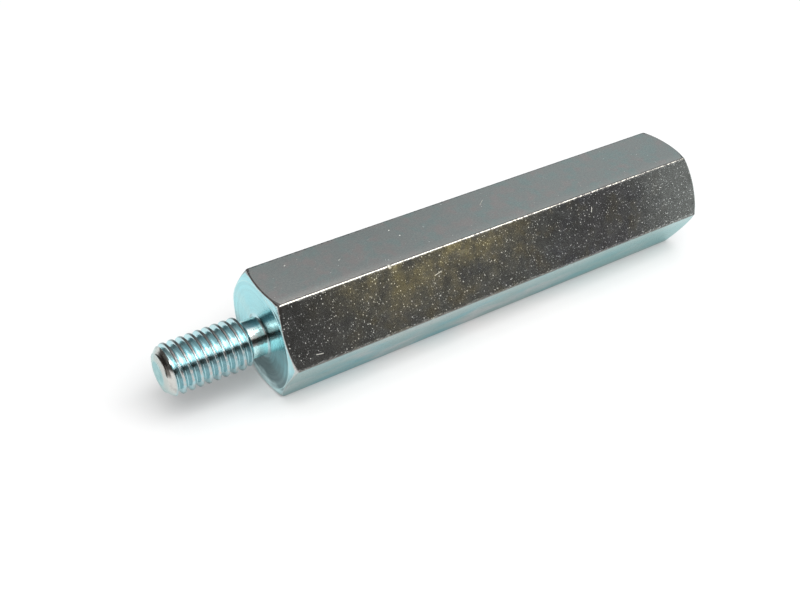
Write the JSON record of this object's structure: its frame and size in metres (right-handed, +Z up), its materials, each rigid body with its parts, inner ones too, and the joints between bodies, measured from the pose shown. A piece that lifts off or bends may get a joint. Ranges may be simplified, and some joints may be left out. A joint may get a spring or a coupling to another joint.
{
  "type": "hexagonal threaded spacer",
  "caption": "Long hexagonal steel spacer with a short threaded stud on a plain neck at one end and a tapped hole at the other.",
  "frame": {"origin": "centre of the shoulder that the stud stands on", "axes": "+X along the body to the tapped end, with the stud along -X; +Z up with the body lying on one flat; +Y through two corners of the hexagon"},
  "size_m": [0.0721, 0.015, 0.013],
  "materials": {
    "plated_steel": "bright zinc plate with a pale blue cast"
  },
  "bodies": {
    "root": {"hex_spacer": "plated_steel"}
  },
  "joints": []
}
